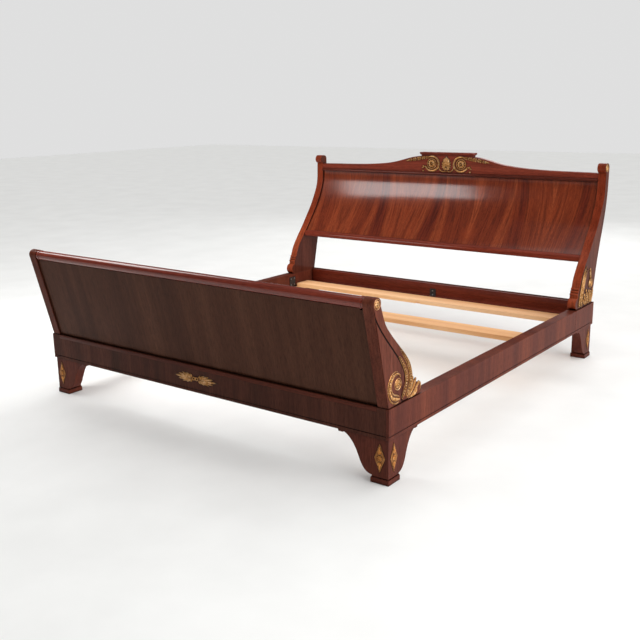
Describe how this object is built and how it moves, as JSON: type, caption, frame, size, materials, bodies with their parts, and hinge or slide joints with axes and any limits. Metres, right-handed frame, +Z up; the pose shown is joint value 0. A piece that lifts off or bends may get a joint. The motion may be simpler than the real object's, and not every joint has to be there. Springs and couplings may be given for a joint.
{
  "type": "sleigh bed",
  "caption": "King-size Empire sleigh bed: leaning foot panel under a round roll, concave headboard with scrolled posts, gilt carvings, bracket legs and loose slats.",
  "frame": {"origin": "on the floor, at the middle of the whole bed's length and width", "axes": "+X to the right seen from the foot end, +Y towards the head end, +Z up"},
  "size_m": [2.05, 2.426, 1.133],
  "materials": {
    "mahogany": "gloss",
    "flame_mahogany": "gloss",
    "gilding": "aged satin gilding",
    "pine": "raw",
    "steel_plate": "satin black",
    "steel_screw": "zinc plated"
  },
  "bodies": {
    "bedstead": {"centre_brackets": "steel_plate", "crest_cap": "mahogany", "crest_moulding": "mahogany", "crest_palmette": "gilding", "crest_rail": "mahogany", "crest_roundels": "gilding", "crest_sprays": "gilding", "foot_applique": "gilding", "foot_border_band_left": "mahogany", "foot_border_band_right": "mahogany", "foot_carving_left": "gilding", "foot_carving_right": "gilding", "foot_corner_block_left": "mahogany", "foot_corner_block_right": "mahogany", "foot_left_block_foot": "mahogany", "foot_left_front_wing": "mahogany", "foot_left_leg": "mahogany", "foot_left_lozenges": "gilding", "foot_left_side_wing": "mahogany", "foot_panel": "mahogany", "foot_rail_core": "mahogany", "foot_rail_face": "mahogany", "foot_right_block_foot": "mahogany", "foot_right_front_wing": "mahogany", "foot_right_leg": "mahogany", "foot_right_lozenges": "gilding", "foot_right_side_wing": "mahogany", "foot_roll": "mahogany", "foot_rosette_left": "gilding", "foot_rosette_right": "gilding", "foot_scroll_board_left": "mahogany", "foot_scroll_board_right": "mahogany", "head_carving_left": "gilding", "head_carving_right": "gilding", "head_corner_block_left": "mahogany", "head_corner_block_right": "mahogany", "head_left_block_foot": "mahogany", "head_left_leg": "mahogany", "head_left_lozenges": "gilding", "head_left_side_wing": "mahogany", "head_panel": "flame_mahogany", "head_post_left": "mahogany", "head_post_right": "mahogany", "head_rail_core": "mahogany", "head_rail_face": "mahogany", "head_right_block_foot": "mahogany", "head_right_leg": "mahogany", "head_right_lozenges": "gilding", "head_right_side_wing": "mahogany", "head_rosette_left": "gilding", "head_rosette_right": "gilding", "panel_moulding": "mahogany", "plate_screws": "steel_screw", "rail_plates": "steel_plate", "side_rail_left": "mahogany", "side_rail_right": "mahogany", "slat_cleat_left": "pine", "slat_cleat_right": "pine"},
    "head_slat": {"slat_head": "pine"},
    "middle_slat": {"slat_middle": "pine"}
  },
  "joints": [
    {"name": "slat_head_lift", "type": "slide", "parent": "bedstead", "child": "head_slat", "axis": [0, 0, 1], "range_m": [0, 0.25]},
    {"name": "slat_middle_lift", "type": "slide", "parent": "bedstead", "child": "middle_slat", "axis": [0, 0, 1], "range_m": [0, 0.25]}
  ]
}
